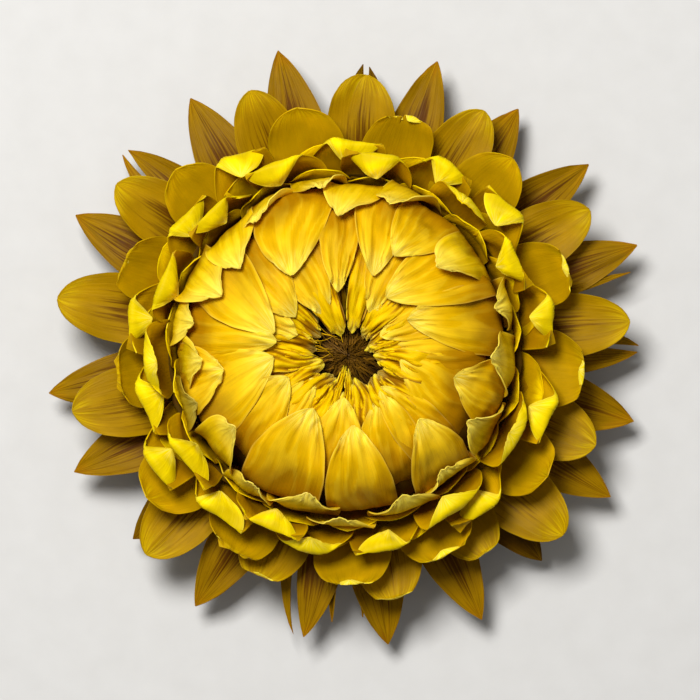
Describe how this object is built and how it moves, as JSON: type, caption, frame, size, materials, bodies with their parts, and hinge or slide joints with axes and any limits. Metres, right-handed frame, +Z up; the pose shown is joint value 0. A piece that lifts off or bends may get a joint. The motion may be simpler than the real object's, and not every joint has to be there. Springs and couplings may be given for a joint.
{
  "type": "dried strawflower head",
  "caption": "Dried strawflower head with a closed dome of papery bracts inside spreading bract rows, cut flush below and resting face up.",
  "frame": {"origin": "middle of the cut face of the stem, on the surface that the head rests on", "axes": "+Z up out of the head, along its own axis, from the cut stem to the mouth of the dome; +X and +Y across the head"},
  "size_m": [0.065, 0.0656, 0.0236],
  "materials": {
    "dry_stem": "dry, ribbed, fibrous at the cut",
    "amber_bract": "thin papery bract, amber brown with dark lengthways streaks",
    "olive_gold_bract": "thin papery bract, satin, olive gold, paler at the rim",
    "gold_bract": "thin papery bract, satin, golden, deeper orange in the folds",
    "floret": "dry, matt, dark brown"
  },
  "bodies": {
    "root": {"cut_stem_and_receptacle": "dry_stem", "outer_bracts": "amber_bract", "ray_bracts": "olive_gold_bract", "dome_bracts": "gold_bract", "disc_florets": "floret"}
  },
  "joints": []
}
